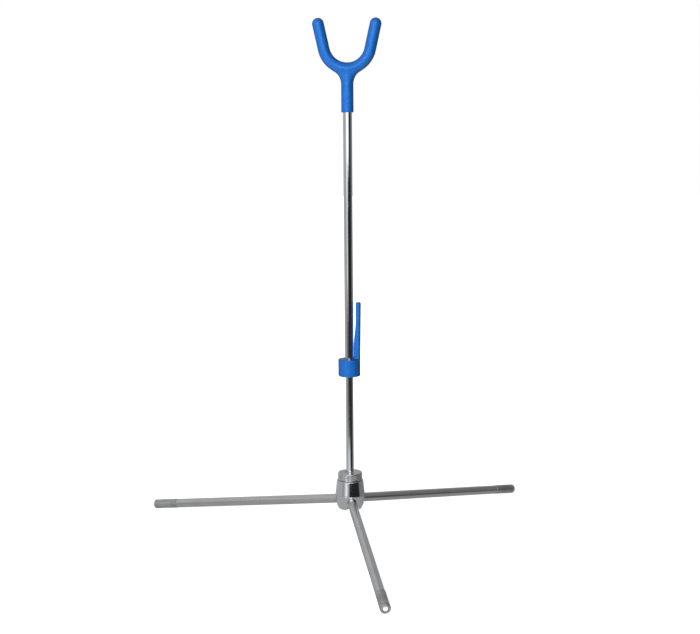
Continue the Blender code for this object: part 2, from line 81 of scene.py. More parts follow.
def amount(name, description, default, **more):
    return FloatProperty(name=name, description=description, default=default, min=0.0, **more)


def share(name, description, default):
    return amount(name, description, default, max=1.0, subtype="FACTOR")


def distance(name, description, default):
    return amount(name, description, default, precision=5, subtype="DISTANCE", unit="LENGTH")


def turn(name, description, degrees):
    return FloatProperty(
        name=name, description=description, default=math.radians(degrees), subtype="ANGLE", unit="ROTATION"
    )


def colour(name, description, default):
    return FloatVectorProperty(
        name=name, description=description, default=default, size=3, min=0.0, max=1.0, subtype="COLOR"
    )


class PoleSizes(PropertyGroup):
    axis_y: distance(
        "Axis Y", "How far behind the middle of the footprint the pole stands",
        (low("upper_tube", 1) + high("upper_tube", 1)) / 2,
    )
    tube_radius: distance("Tube Radius", "Outside radius of the upper tube", 0.00635)
    rod_radius: distance("Rod Radius", "Outside radius of the lower rod", 0.00555)
    rod_bore: distance("Rod Bore", "Inside radius of the lower rod", 0.00455)
    foot_radius: distance("Foot Radius", "Radius of the knurled pole foot", 0.0177)
    foot_seat: distance("Foot Seat", "Depth of the rod's seat in the pole foot", 0.009)
    stud_radius: distance("Stud Radius", "Radius of the stud under the pole foot", 0.005)
    stud_length: distance("Stud Length", "Length of the stud under the pole foot", 0.0155)
    knurl_count: IntProperty(name="Knurl Count", description="Diamonds round the foot", default=60, min=12)
    knurl_depth: distance("Knurl Depth", "Depth of the grooves between the diamonds", 0.00016)


class HubSizes(PropertyGroup):
    bottom_radius: distance("Bottom Radius", "Radius of the bell's rounded lower end", 0.0167)
    skirt_radius: distance("Skirt Radius", "Radius where the lower end meets the skirt", 0.0196)
    crease_radius: distance("Crease Radius", "Largest radius, at the crease", 0.0216)
    top_radius: distance("Top Radius", "Radius of the bell's top", 0.0193)
    skirt_z: distance("Skirt Height", "Height where the lower end meets the skirt", 0.0424)
    crease_z: distance("Crease Height", "Height of the crease", 0.0571)


class LegSizes(PropertyGroup):
    pivot_radius: distance("Pivot Radius", "How far the cross pins are from the pole's axis", 0.0135)
    pivot_z: distance("Pivot Height", "Height of the cross pins", 0.0492891)
    slope: turn("Slope", "Fall of the open legs", 7.63999)
    tube_radius: distance("Tube Radius", "Outside radius of the leg tubes", 0.00665)
    tube_bore: distance("Tube Bore", "Inside radius of the leg tubes", 0.00565)
    pin_radius: distance("Pin Radius", "Radius of the cross pins", 0.002)
    knuckle_length: distance("Knuckle Length", "From the cross pin to the leg tube", 0.0085)
    length: distance("Length", "From the cross pin to the ferrule's face", 0.3213527)
    ferrule_length: distance("Ferrule Length", "Visible length of a ferrule", 0.04)
    ferrule_radius: distance("Ferrule Radius", "Radius of a ferrule", 0.00685)
    ferrule_edge: distance("Ferrule Edge", "Rounding of a ferrule's rim", 0.0018)
    button_radius: distance("Button Radius", "Radius of the plug in a ferrule", 0.0038)


class HeadSizes(PropertyGroup):
    turned: turn("Head Turn", "How far the fork and hook are turned from the front leg", -7.25)
    bar_radius: distance("Bar Radius", "Radius of the fork's round bar", 0.0083)
    inner_radius: distance("Inner Radius", "Inside radius of the fork's bend", 0.0249)
    bend_z: distance("Bend Height", "Height of the middle of the fork's bend", 0.7037)
    flare: turn("Flare", "How far each arm leans outwards", 12.5)
    arm_length: distance("Arm Length", "Straight run of each arm", 0.036)
    fillet: distance("Fillet", "Radius between sleeve and bar", 0.021)
    sleeve_radius: distance("Sleeve Radius", "Radius of the fork's sleeve", 0.0087)
    collar_radius: distance("Collar Radius", "Outside radius of the hook collar", 0.016)
    collar_height: distance("Collar Height", "Height of the hook collar's ring", 0.0249)
    collar_edge: distance("Collar Edge", "Rounding of the ring's rims", 0.0013)
    bush_height: distance("Bush Seat Height", "Depth of the bush's seat under the tube", 0.008)
    bush_radius: distance("Bush Radius", "Outside radius of the grip bush", 0.0095)
    prong_inner: distance("Prong Root", "From the pole's axis to the prong's face at its root", 0.00655)
    prong_opening: distance("Prong Opening", "How much wider that is at its top", 0.0033)
    prong_outer: distance("Prong Back", "From the pole's axis to the prong's outer face", 0.016)
    prong_lean: distance("Prong Lean", "How far the outer face leans out at its top", 0.0014)
    prong_width: turn("Prong Width", "Half of the prong's width round the pole", 24.0)


class Finishes(PropertyGroup):
    chrome: colour("Chrome", "Colour of the bright plated pole and hub", (0.80, 0.81, 0.83))
    knurl: colour("Knurl", "Colour of the knurled foot", (0.78, 0.79, 0.80))
    leg: colour("Leg Steel", "Colour of the satin leg tubes", (0.68, 0.68, 0.68))
    ferrule: colour("Ferrule Steel", "Colour of the dull turned ferrules", (0.56, 0.56, 0.56))
    blue: colour("Blue Plastic", "Colour of the moulded fork and hook", (0.003, 0.148, 0.580))
    nylon: colour("Nylon", "Colour of the bush and the glide cap", (0.80, 0.79, 0.74))
    wear: share("Wear", "Strength of scratches and handling marks", 0.5)


class StudioSettings(PropertyGroup):
    lens: amount("Lens", "Focal length on a 36 mm sensor", 64.36, subtype="DISTANCE_CAMERA")
    away: distance("Distance", "From the camera to the pole's axis, level", 1.7836)
    height: distance("Height", "Height of the camera", 0.5657)
    aside: distance("Aside", "How far the view's middle is right of the pole", 0.0015)
    turned: turn("Turned", "How far the camera stands to the left of the front leg", 7.2752)
    pitch: turn("Pitch", "How far the camera looks down", 7.8757)
    roll: turn("Roll", "Roll of the camera", 0.424)
    ambient: amount("Ambient", "Strength of the soft light from all sides", 0.12)
    key: amount("Key", "Power of the soft lamp at the front left, in watts", 69.0, unit="POWER")
    fill: amount("Fill", "Power of the soft lamp behind the stand, in watts", 40.0, unit="POWER")
    walls: share("Walls", "Brightness of the studio's plain walls in bright metal", 0.5)
    floor_grey: share("Floor Grey", "Colour of the pale floor where it takes the shadow", 0.9)


def settings(*names):
    """Property groups of the stand, by name."""
    return [getattr(bpy.context.scene, f"bow_stand_{name}") for name in names]


# --- Surfaces -----------------------------------------------------------------------------


def upright(azimuth=0.0, out=0.0, z=0.0):
    """Axes (columns) and origin of an upright piece, turned about the pole and out from it."""
    [pole] = settings("pole")
    c, s = math.cos(azimuth), math.sin(azimuth)
    axes = np.array([[c, -s, 0.0], [s, c, 0.0], [0.0, 0.0, 1.0]])
    return axes, np.array([out * c, out * s + pole.axis_y, z])


def pivot_frame(side):
    """Axes and origin of a leg's cross pin: the first axis points out from the pole."""
    [legs] = settings("legs")
    return upright(math.radians(SIDES[side]), legs.pivot_radius, legs.pivot_z)


def leg_frame(side):
    """Axes and origin of an open leg: the third axis runs down along it from its cross pin."""
    [legs] = settings("legs")
    axes, origin = pivot_frame(side)
    out, across, up = axes.T
    along = math.cos(legs.slope) * out - math.sin(legs.slope) * up
    return np.stack([np.cross(across, along), across, along], axis=1), origin


def rounded_outline(corners, steps, closed):
    """Points and surface normals along an outline of (radius, length, fillet) corners.

    A corner is an arc tangent to both sides. Its points are centre + side * fillet * normal,
    where the normal turns evenly from one side's to the other's, and side is 1 on a corner
    that stands out and -1 on one that goes in. A normal is its side's direction turned right.
    """
    corners = np.array(corners, float)
    spot, fillet = corners[:, :2], corners[:, 2, None]
    ahead = np.roll(spot, -1, axis=0) - spot
    ahead /= np.maximum(np.linalg.norm(ahead, axis=1, keepdims=True), 1e-12)
    back = np.roll(ahead, 1, axis=0)
    if not closed:
        back[0], ahead[-1] = ahead[0], back[-1]
    bend = np.arctan2(back[:, 0] * ahead[:, 1] - back[:, 1] * ahead[:, 0], (back * ahead).sum(axis=1))
    angle = np.arctan2(-back[:, 0], back[:, 1])[:, None] + bend[:, None] * np.linspace(0, 1, steps + 1)
    normals = np.stack([np.cos(angle), np.sin(angle)], axis=-1)
    side = np.sign(bend)[:, None]
    start = spot - back * fillet * np.tan(np.abs(bend[:, None]) / 2)
    centre = start - side * fillet * normals[:, 0]
    points = centre[:, None] + (side * fillet)[:, None] * normals
    return points.reshape(-1, 2), normals.reshape(-1, 2)


def tube_outline(bore, radius, ends, edges):
    """Corners of a tube's outline: bore and outside at one end, outside and bore at the other."""
    corners = (bore, ends[0]), (radius, ends[0]), (radius, ends[1]), (bore, ends[1])
    return [(*corner, edge) for corner, edge in zip(corners, edges)]


def turned_piece(name, corners, axes, columns=96, steps=6, closed=False, relief=None):
    """Surface turned about the third axis: (r cos u, r sin u, v) along a rounded outline (r, v).

    A relief is a function of (u, v) that adds to r where the outline's normal is level.
    The normals are the outline's own, tilted by the relief's slopes. Where r is 0, the
    quads become triangles round one pole.
    """
    points, normals = rounded_outline(corners, steps, closed)
    kept = np.linalg.norm(np.roll(points, -1, axis=0) - points, axis=1) > TINY
    kept[-1] &= closed
    ring_of = np.concatenate([[0], np.cumsum(kept)[:-1]]) % (int(kept.sum()) + (not closed))
    first = np.unique(ring_of, return_index=True)[1]
    radius, length = points[first].T[..., None]
    around = 2 * np.pi * np.arange(columns) / columns
    radii = radius + np.zeros(columns)
    if relief:
        radii = radii + relief(around, length) * (radii > TINY)
    grid = np.stack([radii * np.cos(around), radii * np.sin(around), length + 0 * radii], axis=-1)
    poled = radius < TINY
    counts = np.where(poled, 1, columns)
    index = np.cumsum(counts)[:, None] - counts + np.where(poled, 0, np.arange(columns))
    place = grid[~poled | (np.arange(columns) == 0)]

    # Each kept segment of the outline gives a ring of faces, whose four corners lie at its
    # start, start, end and end, and in a column, the next, the next and the column again.
    start = np.nonzero(kept)[0]
    end = (start + 1) % len(points)
    corner = np.stack([start, start, end, end], axis=-1)[:, None]
    column = np.arange(columns)[:, None] + [0, 1, 1, 0]
    faces = index[ring_of[corner], column % columns].reshape(-1, 4)
    u, v, level = 2 * np.pi / columns * column, points[corner, 1], normals[corner, :1]
    up = np.array([0.0, 0.0, 1.0])
    shade = level * np.stack([np.cos(u), np.sin(u), 0 * u], axis=-1) + normals[corner, 1:] * up
    if relief:
        # Steps of the central differences.
        du, dv = 2e-3, 4e-5
        slope_u = (relief(u + du, v) - relief(u - du, v)) / (2 * du) / np.maximum(points[corner, 0], 1e-6)
        slope_v = (relief(u, v + dv) - relief(u, v - dv)) / (2 * dv)
        sideways = np.stack([-np.sin(u), np.cos(u), 0 * u], axis=-1)
        shade = shade - np.abs(level) * (slope_u[..., None] * sideways + slope_v[..., None] * up)
    shade = (shade / np.linalg.norm(shade, axis=-1, keepdims=True)).reshape(-1, 4, 3)

    tip_low, tip_high = faces[:, 0] == faces[:, 1], faces[:, 2] == faces[:, 3]
    order = np.where(tip_low[:, None], (0, 2, 3, 1), np.arange(4))
    faces = np.take_along_axis(faces, order, axis=1)
    shade = np.take_along_axis(shade, order[..., None], axis=1)
    faces[tip_low | tip_high, 3] = -1
    return mesh_of(name, place, faces, shade, axes)


def mesh_of(name, place, faces, normals, axes):
    """Mesh of points given in a piece's own axes, which it also keeps as the attribute "place".

    Faces have four indices, the last -1 in a triangle. Normals are one per face corner, or
    one per point. Points and normals are carried to the stand's axes.
    """
    turned, origin = axes
    used = faces >= 0
    sizes = used.sum(axis=1)
    mesh = bpy.data.meshes.new(name)
    mesh.vertices.add(len(place))
    mesh.vertices.foreach_set("co", (place @ turned.T + origin).ravel())
    mesh.loops.add(int(sizes.sum()))
    mesh.loops.foreach_set("vertex_index", faces[used].astype(np.int32))
    mesh.polygons.add(len(faces))
    mesh.polygons.foreach_set("loop_start", (np.cumsum(sizes) - sizes).astype(np.int32))
    mesh.update(calc_edges=True)
    mesh.shade_smooth()
    kept = mesh.attributes.new("place", "FLOAT_VECTOR", "POINT")
    kept.data.foreach_set("vector", place.astype(np.float32).ravel())
    if normals.ndim == 2:
        mesh.normals_split_custom_set_from_vertices(normals @ turned.T)
    else:
        mesh.normals_split_custom_set(normals[used] @ turned.T)
    return mesh


def smooth_max(a, b, width):
    """Larger of two fields, rounded where they are within a width of each other."""
    blend = np.maximum(width - np.abs(a - b), 0)
    return np.maximum(a, b) + blend * blend / (4 * width)


def smooth_min(a, b, width):
    """Smaller of two fields, rounded in the same way."""
    return -smooth_max(-a, -b, width)


def slope_of(field, points):
    """Gradient of a field at points (n, 3), by central differences."""
    step = 1e-5
    return np.stack(
        [(field(*(points + move).T) - field(*(points - move).T)) / (2 * step) for move in step * np.eye(3)],
        axis=1,
    )


def field_piece(name, field, lowest, highest, cell, axes):
    """Closed surface where a field of (x, y, z) is zero, negative inside, by surface nets.

    Every cell of a grid that the surface crosses gets a point, at the mean of the crossings
    on its edges. Every grid edge that it crosses gets a quad of the four cells round it. The
    points then move along the field's slope onto the surface, and the slope is the normal.
    """
    ticks = [np.arange(a - 1.5 * cell, b + 2.5 * cell, cell) for a, b in zip(lowest, highest)]
    value = field(*np.meshgrid(*ticks, indexing="ij"))
    cells = np.array(value.shape) - 1
    total = np.zeros((4, cells.prod()))
    quads = []
    for axis in range(3):
        inside = np.moveaxis(value < 0, axis, 0)
        edges = np.argwhere(np.moveaxis(inside[:-1] != inside[1:], 0, axis))
        ahead = edges + np.eye(3, dtype=int)[axis]
        here, there = value[tuple(edges.T)], value[tuple(ahead.T)]
        spots = edges.astype(float)
        spots[:, axis] += here / (here - there)
        ring = []
        for move in ((-1, -1), (0, -1), (0, 0), (-1, 0)):
            around = edges.copy()
            around[:, (axis + 1) % 3] += move[0]
            around[:, (axis + 2) % 3] += move[1]
            flat = np.ravel_multi_index(tuple(around.T), tuple(cells))
            for row in range(3):
                total[row] += np.bincount(flat, spots[:, row], cells.prod())
            total[3] += np.bincount(flat, minlength=cells.prod())
            ring.append(flat)
        ring = np.stack(ring, axis=1)
        ring[here > 0] = ring[here > 0, ::-1]
        quads.append(ring)
    used = np.nonzero(total[3])[0]
    number = np.zeros(cells.prod(), np.int64)
    number[used] = np.arange(len(used))
    points = np.array([tick[0] for tick in ticks]) + cell * (total[:3, used] / total[3, used]).T
    # Newton's method, with no step longer than half a cell.
    for _ in range(5):
        slope = slope_of(field, points)
        step = (field(*points.T) / np.maximum((slope * slope).sum(axis=1), 0.05))[:, None] * slope
        points -= np.clip(step, -cell / 2, cell / 2)
    slope = slope_of(field, points)
    slope /= np.maximum(np.linalg.norm(slope, axis=1, keepdims=True), 1e-9)
    return mesh_of(name, points, number[np.concatenate(quads)], slope, axes)


# --- Finishes -----------------------------------------------------------------------------


def add(tree, kind, sockets=None, **values):
    """Node of a kind with its settings, whose inputs take a number, a colour or a node's output."""
    made = tree.nodes.new("ShaderNode" + kind)
    for key, value in values.items():
        setattr(made, key, value)
    for key, value in (sockets or {}).items():
        if isinstance(value, NodeSocket):
            tree.links.new(value, made.inputs[key])
        else:
            made.inputs[key].default_value = value
    return made


def maths(tree, operation, *values, clamp=False):
    return add(tree, "Math", dict(enumerate(values)), operation=operation, use_clamp=clamp).outputs[0]


def weighted(tree, start, *terms):
    """Start plus each value times its weight."""
    for value, weight in terms:
        start = maths(tree, "MULTIPLY_ADD", value, weight, start)
    return start


def spread(tree, value, start, end, to_start=0.0, to_end=1.0):
    """Value carried from one range to another, smoothly and within its limits."""
    sockets = {"Value": value, "From Min": start, "From Max": end, "To Min": to_start, "To Max": to_end}
    return add(tree, "MapRange", sockets, interpolation_type="SMOOTHSTEP").outputs[0]


def mixed(tree, part, a, b, kind="RGBA"):
    """Between two colours, or two numbers, by a part. The Mix node has places for each kind."""
    first, result = {"FLOAT": (2, 0), "RGBA": (6, 2)}[kind]
    return add(tree, "Mix", {"Factor": part, first: a, first + 1: b}, data_type=kind).outputs[result]


def shaded(tree, rgb, dark, part):
    """Colour that goes to a darker share of itself by a part."""
    return mixed(tree, part, (*rgb, 1.0), (*(dark * level for level in rgb), 1.0))


def stretched(tree, vector, scale, angle=0.0):
    """Vector turned about Z and scaled along its own axes."""
    sockets = {"Vector": vector, "Scale": scale, "Rotation": (0.0, 0.0, angle)}
    return add(tree, "Mapping", sockets, vector_type="POINT").outputs[0]


def noise(tree, vector, scale, detail=2.0, roughness=0.5):
    sockets = {"Vector": vector, "Scale": scale, "Detail": detail, "Roughness": roughness}
    return add(tree, "TexNoise", sockets).outputs["Fac"]


def parts_of(tree, vector):
    return add(tree, "SeparateXYZ", {0: vector}).outputs


def length_of(tree, vector):
    return add(tree, "VectorMath", {0: vector}, operation="LENGTH").outputs["Value"]


def place_of(tree):
    """Where a point is in its piece's own axes."""
    return add(tree, "Attribute", attribute_name="place").outputs["Vector"]


def hairlines(tree, place, scale, width):
    """Fine scratches that run three ways, as thin contour lines of stretched noise."""
    mask = 0.0
    for angle, stretch in ((0.35, (1.0, 0.6, 0.04)), (1.9, (1.0, 0.5, 0.05)), (2.7, (0.05, 0.05, 1.0))):
        lines = noise(tree, stretched(tree, place, stretch, angle), scale, 1.0)
        offset = maths(tree, "ABSOLUTE", maths(tree, "SUBTRACT", lines, 0.52))
        line = maths(tree, "SUBTRACT", 1.0, maths(tree, "DIVIDE", offset, width, clamp=True))
        mask = maths(tree, "MAXIMUM", mask, line)
    patches = spread(tree, noise(tree, place, 25.0), 0.48, 0.62)
    return {"Mask": maths(tree, "MULTIPLY", mask, patches)}


def unevenness(tree, place, scale):
    """Slow unevenness of a handled surface, with small specks in it."""
    speck = noise(tree, place, maths(tree, "MULTIPLY", scale, 22.0), 1.0)
    return {
        "Cloud": spread(tree, noise(tree, place, scale, 4.0, 0.6), 0.35, 0.68),
        "Specks": spread(tree, speck, 0.66, 0.74),
    }


def drawn_streaks(tree, place, scale):
    """Fine streaks along a drawn tube, from noise stretched along the piece's own length."""
    fine = noise(tree, stretched(tree, place, (1.0, 1.0, 0.012)), scale)
    broad = noise(tree, stretched(tree, place, (1.0, 1.0, 0.02)), maths(tree, "MULTIPLY", scale, 0.3), 1.0)
    both = maths(tree, "ADD", maths(tree, "MULTIPLY", fine, 0.6), maths(tree, "MULTIPLY", broad, 0.4))
    return {"Streak": spread(tree, both, 0.35, 0.65)}


def turning_rings(tree, place, pitch):
    """The fine rings a lathe leaves, even in pitch and uneven in depth."""
    turns = maths(tree, "DIVIDE", parts_of(tree, place)["Z"], pitch)
    wave = maths(tree, "SINE", maths(tree, "MULTIPLY", turns, 2 * math.pi))
    depth = noise(tree, stretched(tree, place, (0.02, 0.02, 1.0)), 1400.0)
    return {"Height": maths(tree, "MULTIPLY", maths(tree, "MULTIPLY_ADD", wave, 0.5, 0.5), depth)}


def moulded_skin(tree, place, width):
    """Skin of a moulding, a soft orange peel with a parting line where the place's Y is 0."""
    broad = maths(tree, "MULTIPLY", noise(tree, place, 130.0, 1.0), 0.8)
    ratio = maths(tree, "DIVIDE", maths(tree, "ABSOLUTE", parts_of(tree, place)["Y"]), width)
    return {
        "Peel": maths(tree, "ADD", noise(tree, place, 520.0), broad),
        "Line": maths(tree, "SUBTRACT", 1.0, maths(tree, "MINIMUM", ratio, 1.0)),
    }


# What makes each node group, and its inputs with their defaults, None for a vector.
NODE_GROUPS = {
    "hairline scratches": (hairlines, {"Vector": None, "Scale": 60.0, "Width": 0.012}),
    "handled unevenness": (unevenness, {"Vector": None, "Scale": 30.0}),
    "drawn streaks": (drawn_streaks, {"Place": None, "Scale": 900.0}),
    "turning rings": (turning_rings, {"Place": None, "Pitch": 0.0003}),
    "moulded skin": (moulded_skin, {"Vector": None, "Line": 0.00016}),
}


def make_group(name):
    """Node group whose named outputs are what its maker makes of its named inputs."""
    make, inputs = NODE_GROUPS[name]
    tree = bpy.data.node_groups.new(name, "ShaderNodeTree")
    for key, value in inputs.items():
        kind = "NodeSocketVector" if value is None else "NodeSocketFloat"
        socket = tree.interface.new_socket(key, in_out="INPUT", socket_type=kind)
        if value is not None:
            socket.default_value = value
    given = tree.nodes.new("NodeGroupInput").outputs
    made = make(tree, *(given[key] for key in inputs))
    end = tree.nodes.new("NodeGroupOutput")
    for key, value in made.items():
        tree.interface.new_socket(key, in_out="OUTPUT", socket_type="NodeSocketFloat")
        tree.links.new(value, end.inputs[key])


def use(tree, name, **sockets):
    """Outputs of a node group, which is made when it is first asked for."""
    if name not in bpy.data.node_groups:
        make_group(name)
    return add(tree, "Group", sockets, node_tree=bpy.data.node_groups[name]).outputs


def worn_material(name, metallic, cloud, scratches=None, **constants):
    """Material with a Principled shader, whose plain values are set on its own sockets.

    It comes with its tree, a point's place, its handled unevenness at one scale and the mask
    of its scratches at another.
    """
    material = bpy.data.materials.new(name)
    material.use_nodes = True
    tree = material.node_tree
    for key, value in {"Metallic": metallic, **constants}.items():
        tree.nodes["Principled BSDF"].inputs[key.replace("_", " ")].default_value = value
    place = place_of(tree)
    uneven = use(tree, "handled unevenness", Vector=place, Scale=cloud)
    lines = scratches and use(tree, "hairline scratches", Vector=place, Scale=scratches)["Mask"]
    return tree, place, uneven["Cloud"], uneven["Specks"], lines


def coat(tree, rgb, rough, height, reach):
    """Gives a material's shader its colour, its roughness and a bump."""
    normal = add(tree, "Bump", {"Height": height, "Distance": reach, "Strength": 1.0}).outputs["Normal"]
    for key, value in (("Base Color", rgb), ("Roughness", rough), ("Normal", normal)):
        tree.links.new(value, tree.nodes["Principled BSDF"].inputs[key])


def make_chrome(name, looks):
    tree, _, cloud, specks, lines = worn_material(name, 1.0, 45.0, 150.0)
    rough = weighted(tree, 0.05, (cloud, 0.025), (lines, 0.2 * looks.wear), (specks, 0.05 * looks.wear))
    coat(tree, shaded(tree, looks.chrome, 0.95, cloud), rough, lines, -0.000001 * looks.wear)


def make_knurled(name, looks):
    """Chrome whose grooves, found by their distance from the axis, are duller, and darker by painted shade.
    """
    tree, place, cloud, _, _ = worn_material(name, 1.0, 420.0)
    [pole] = settings("pole")
    radius, depth = pole.foot_radius, pole.knurl_depth
    split = parts_of(tree, place)
    out = length_of(tree, add(tree, "CombineXYZ", {"X": split["X"], "Y": split["Y"]}).outputs[0])
    groove = spread(tree, out, radius - depth, radius - 0.15 * depth, 1.0, 0.0)
    groove = maths(tree, "MULTIPLY", groove, spread(tree, out, radius - 3 * depth, radius - 1.5 * depth))
    rough = weighted(tree, 0.1, (groove, 0.14), (cloud, 0.06))
    # Painted shade in the grooves: the colour darkens towards half there, and the cloud adds a random
    # darker tone.
    dull = maths(tree, "MULTIPLY_ADD", groove, 0.7, maths(tree, "MULTIPLY", cloud, 0.5), clamp=True)
    coat(tree, shaded(tree, looks.knurl, 0.5, dull), rough, cloud, 0.00001)


def make_leg_steel(name, looks):
    tree, place, cloud, _, lines = worn_material(name, 1.0, 35.0, 110.0)
    streak = use(tree, "drawn streaks", Place=place)["Streak"]
    rough = weighted(tree, 0.12, (streak, 0.06), (cloud, 0.06), (lines, 0.18 * looks.wear))
    both = maths(tree, "MULTIPLY", maths(tree, "ADD", streak, cloud), 0.5)
    height = maths(tree, "SUBTRACT", streak, lines)
    coat(tree, shaded(tree, looks.leg, 0.85, both), rough, height, 0.0000022)


def make_ferrule_steel(name, looks):
    tree, place, cloud, _, lines = worn_material(name, 1.0, 60.0, 130.0)
    rings = use(tree, "turning rings", Place=place)["Height"]
    rough = weighted(tree, 0.38, (cloud, 0.1), (lines, 0.12 * looks.wear))
    coat(tree, shaded(tree, looks.ferrule, 0.8, cloud), rough, rings, 0.00001)


def make_blue_plastic(name, looks):
    """Plastic darkened by painted shade where it is seen edge on, and paler where it is rubbed."""
    tree, place, cloud, _, lines = worn_material(name, 0.0, 38.0, 95.0, IOR=1.49)
    skin = use(tree, "moulded skin", Vector=place)
    rough = weighted(tree, 0.2, (cloud, 0.08), (lines, 0.25 * looks.wear))
    height = maths(tree, "SUBTRACT", weighted(tree, skin["Peel"], (skin["Line"], 6.0)), lines)
    rubbed = weighted(tree, maths(tree, "MULTIPLY", cloud, 0.25), (lines, 0.5 * looks.wear))
    pale = mixed(tree, rubbed, (*looks.blue, 1.0), (*(part + 0.02 for part in looks.blue), 1.0))
    # Painted shade: the colour falls to half its brightness where the surface is seen edge on.
    facing = add(tree, "LayerWeight", {"Blend": 0.5}).outputs["Facing"]
    edge = spread(tree, facing, 0.05, 0.7, 1.0, 0.5)
    edge_shaded_blue = add(tree, "VectorMath", {0: pale, "Scale": edge}, operation="SCALE").outputs[0]
    coat(tree, edge_shaded_blue, rough, height, 0.000006)


def make_nylon(name, looks):
    tree, place, cloud, _, _ = worn_material(
        name, 0.0, 120.0, IOR=1.53, Subsurface_Weight=0.15, Subsurface_Scale=0.001
    )
    peel = use(tree, "moulded skin", Vector=place, Line=0.0001)["Peel"]
    rough = weighted(tree, 0.42, (cloud, 0.12))
    coat(tree, shaded(tree, looks.nylon, 0.85, cloud), rough, peel, 0.000008)


# What makes each finish's material, its slot name, and how its pieces' names end.
FINISHES = {
    "bright chrome plate": (make_chrome, "chrome", "chrome"),
    "knurled chrome plate": (make_knurled, "knurled_chrome", "knurled"),
    "satin leg steel": (make_leg_steel, "leg_steel", "steel"),
    "dull turned steel": (make_ferrule_steel, "ferrule_steel", "steel"),
    "blue moulded plastic": (make_blue_plastic, "blue_plastic", "moulding"),
    "natural nylon": (make_nylon, "nylon", "nylon"),
}


def material_of(finish):
    """Material of a finish, made when it is first asked for."""
    if finish not in bpy.data.materials:
        FINISHES[finish][0](finish, *settings("finishes"))
    return bpy.data.materials[finish]


def shown(node, mesh, finish, body, name=None):
    """Piece of this mesh and finish, which rides on a body and stands for a CAD node."""
    _, slot, ending = FINISHES[finish]
    piece = bpy.data.objects.new(name or f"{node}_{ending}", mesh)
    bpy.context.collection.objects.link(piece)
    mesh.materials.append(material_of(finish))
    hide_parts(node)
    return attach(piece, body)


# --- Pieces -------------------------------------------------------------------------------


class BOWSTAND_OT_fork(Operator):
    """Make the moulded fork with its sleeve"""

    bl_idname = "bowstand.fork"
    bl_label = "Fork"

    def execute(self, context):
        head, pole = settings("head", "pole")
        bottom = low("fork")
        bend = head.inner_radius + head.bar_radius
        s, c = math.sin(head.flare), math.cos(head.flare)
        fillet_x = head.sleeve_radius + head.fillet
        fillet_z = head.bend_z - math.sqrt((bend + head.bar_radius + head.fillet) ** 2 - fillet_x**2)
        tangent = head.fillet * math.sin(math.atan2(head.bend_z - fillet_z, fillet_x))
        # Where the sleeve fades out under the crotch, how softly, and its depth there as a share
        # of the bar's.
        under_crotch, fade, flatness = 0.0038, 0.009, 0.96
        top = head.bend_z - head.inner_radius - under_crotch
        # Width of the blend of sleeve and bar along the middle, and how much wider at the sides.
        blend, side_blend = 0.0012, 0.0028

        def bar(x, y, z):
            """Distance to a bar round an arc and its two straight arms, mirrored in x."""
            x, z = np.abs(x), z - head.bend_z
            along = (x - bend * c) * s + (z + bend * s) * c
            aside = (x - bend * c) * c - (z + bend * s) * s
            arm = np.hypot(aside, np.maximum(along - head.arm_length, 0))
            arc = np.abs(np.hypot(x, z) - bend)
            return np.hypot(np.where(along > 0, arm, arc), y) - head.bar_radius

        def stem(x, y, z):
            """Elliptic sleeve whose width follows a fillet up to the bar."""
            rise = np.clip(z - fillet_z, 0, tangent)
            width = fillet_x - np.sqrt(head.fillet**2 - rise**2)
            part = np.clip((z - fillet_z) / (top - fillet_z), 0, 1)
            depth = head.sleeve_radius + (flatness * head.bar_radius - head.sleeve_radius) * part
            across = (np.hypot(x / width, y / depth) - 1) * np.minimum(width, depth)
            return smooth_max(across, z - top, fade)

        def fork(x, y, z):
            width = blend + side_blend * (y / head.bar_radius) ** 2
            body = smooth_min(bar(x, y, z), stem(x, y, z), width)
            body = smooth_max(body, bottom - z, 0.0008)
            bore = np.maximum(np.hypot(x, y) - pole.tube_radius - GAP, z - high("upper_tube") - GAP)
            return smooth_max(body, -bore, 0.0003)

        reach = bend * c + head.arm_length * s + head.bar_radius
        depth = max(head.sleeve_radius, head.bar_radius)
        corners = (-reach, -depth, bottom), (reach, depth, high("fork"))
        mesh = field_piece("fork", fork, *corners, cell=0.00055, axes=upright(head.turned))
        shown("fork", mesh, "blue moulded plastic", "head")
        return {"FINISHED"}


